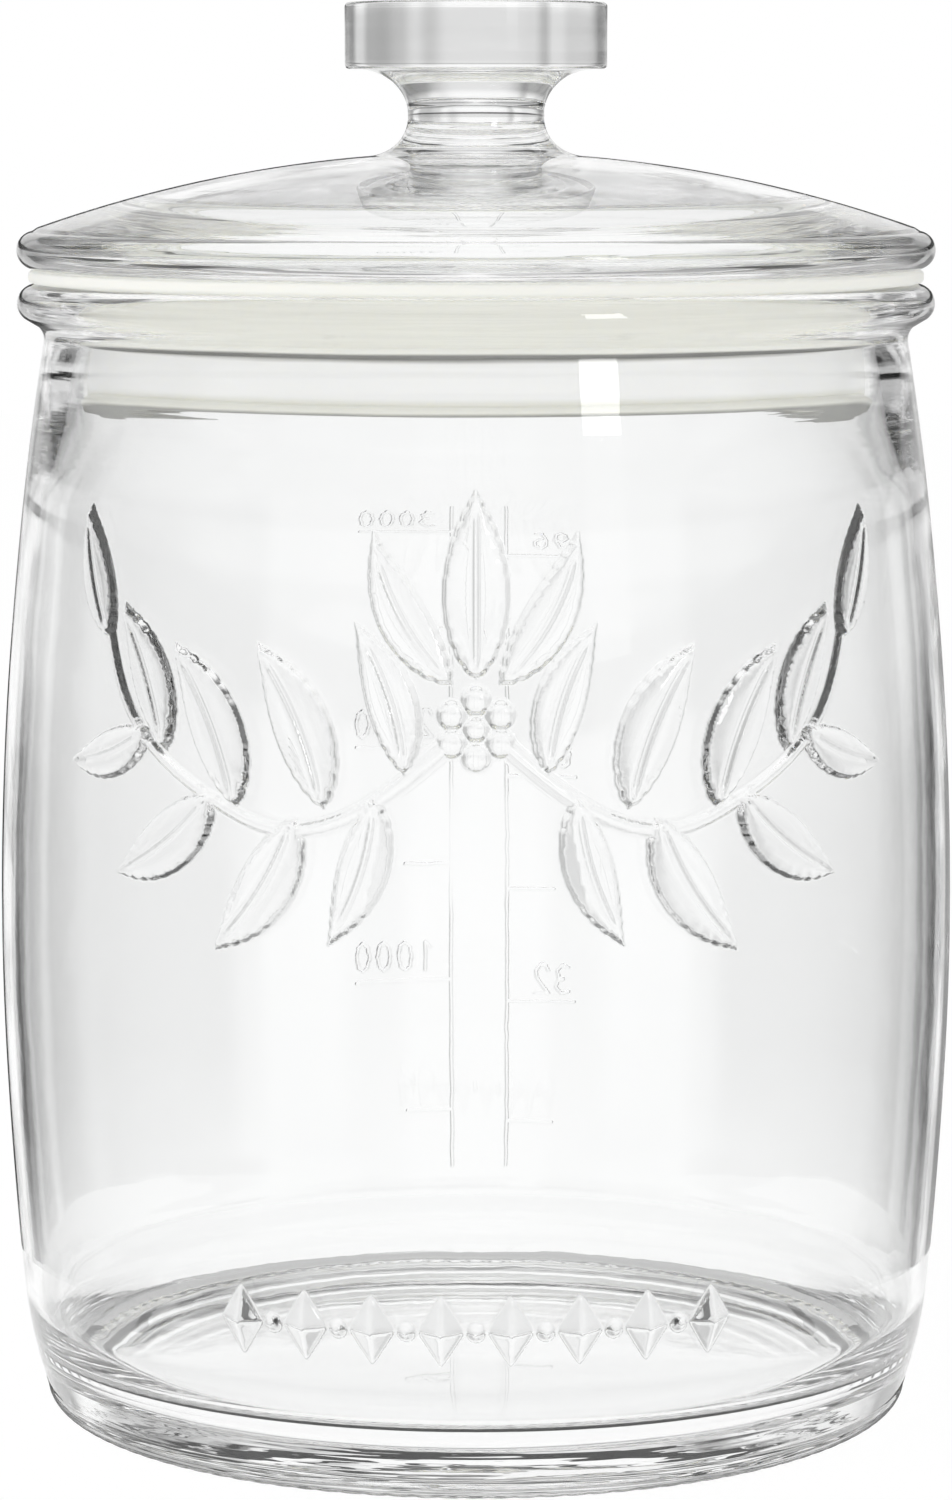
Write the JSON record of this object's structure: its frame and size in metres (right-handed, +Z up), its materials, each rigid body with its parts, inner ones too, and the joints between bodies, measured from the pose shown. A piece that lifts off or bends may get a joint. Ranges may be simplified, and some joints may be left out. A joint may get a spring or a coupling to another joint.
{
  "type": "glass cookie jar",
  "caption": "Barrel-shaped clear glass jar with a thick base, a domed glass lid with a disc knob, and an off-white silicone seal round the lid's skirt.",
  "frame": {"origin": "centre of the bottom, on the surface that the jar stands on", "axes": "+Z up along the axis of the jar and its lid, +Y from the front towards the back wall with the measuring scale"},
  "size_m": [0.1736, 0.1736, 0.2546],
  "materials": {
    "jar_glass": "clear, polished, with raised relief",
    "seal_silicone": "satin, lets light through",
    "lid_glass": "clear, polished"
  },
  "bodies": {
    "jar": {"jar_body": "jar_glass"},
    "seal": {"seal_ring": "seal_silicone"},
    "lid": {"lid": "lid_glass"}
  },
  "joints": [
    {"name": "seal_lift", "type": "slide", "parent": "jar", "child": "seal", "axis": [0, 0, 1], "range_m": [0, 0.15]},
    {"name": "lid_lift", "type": "slide", "parent": "seal", "child": "lid", "axis": [0, 0, 1], "range_m": [0, 0.06]}
  ]
}
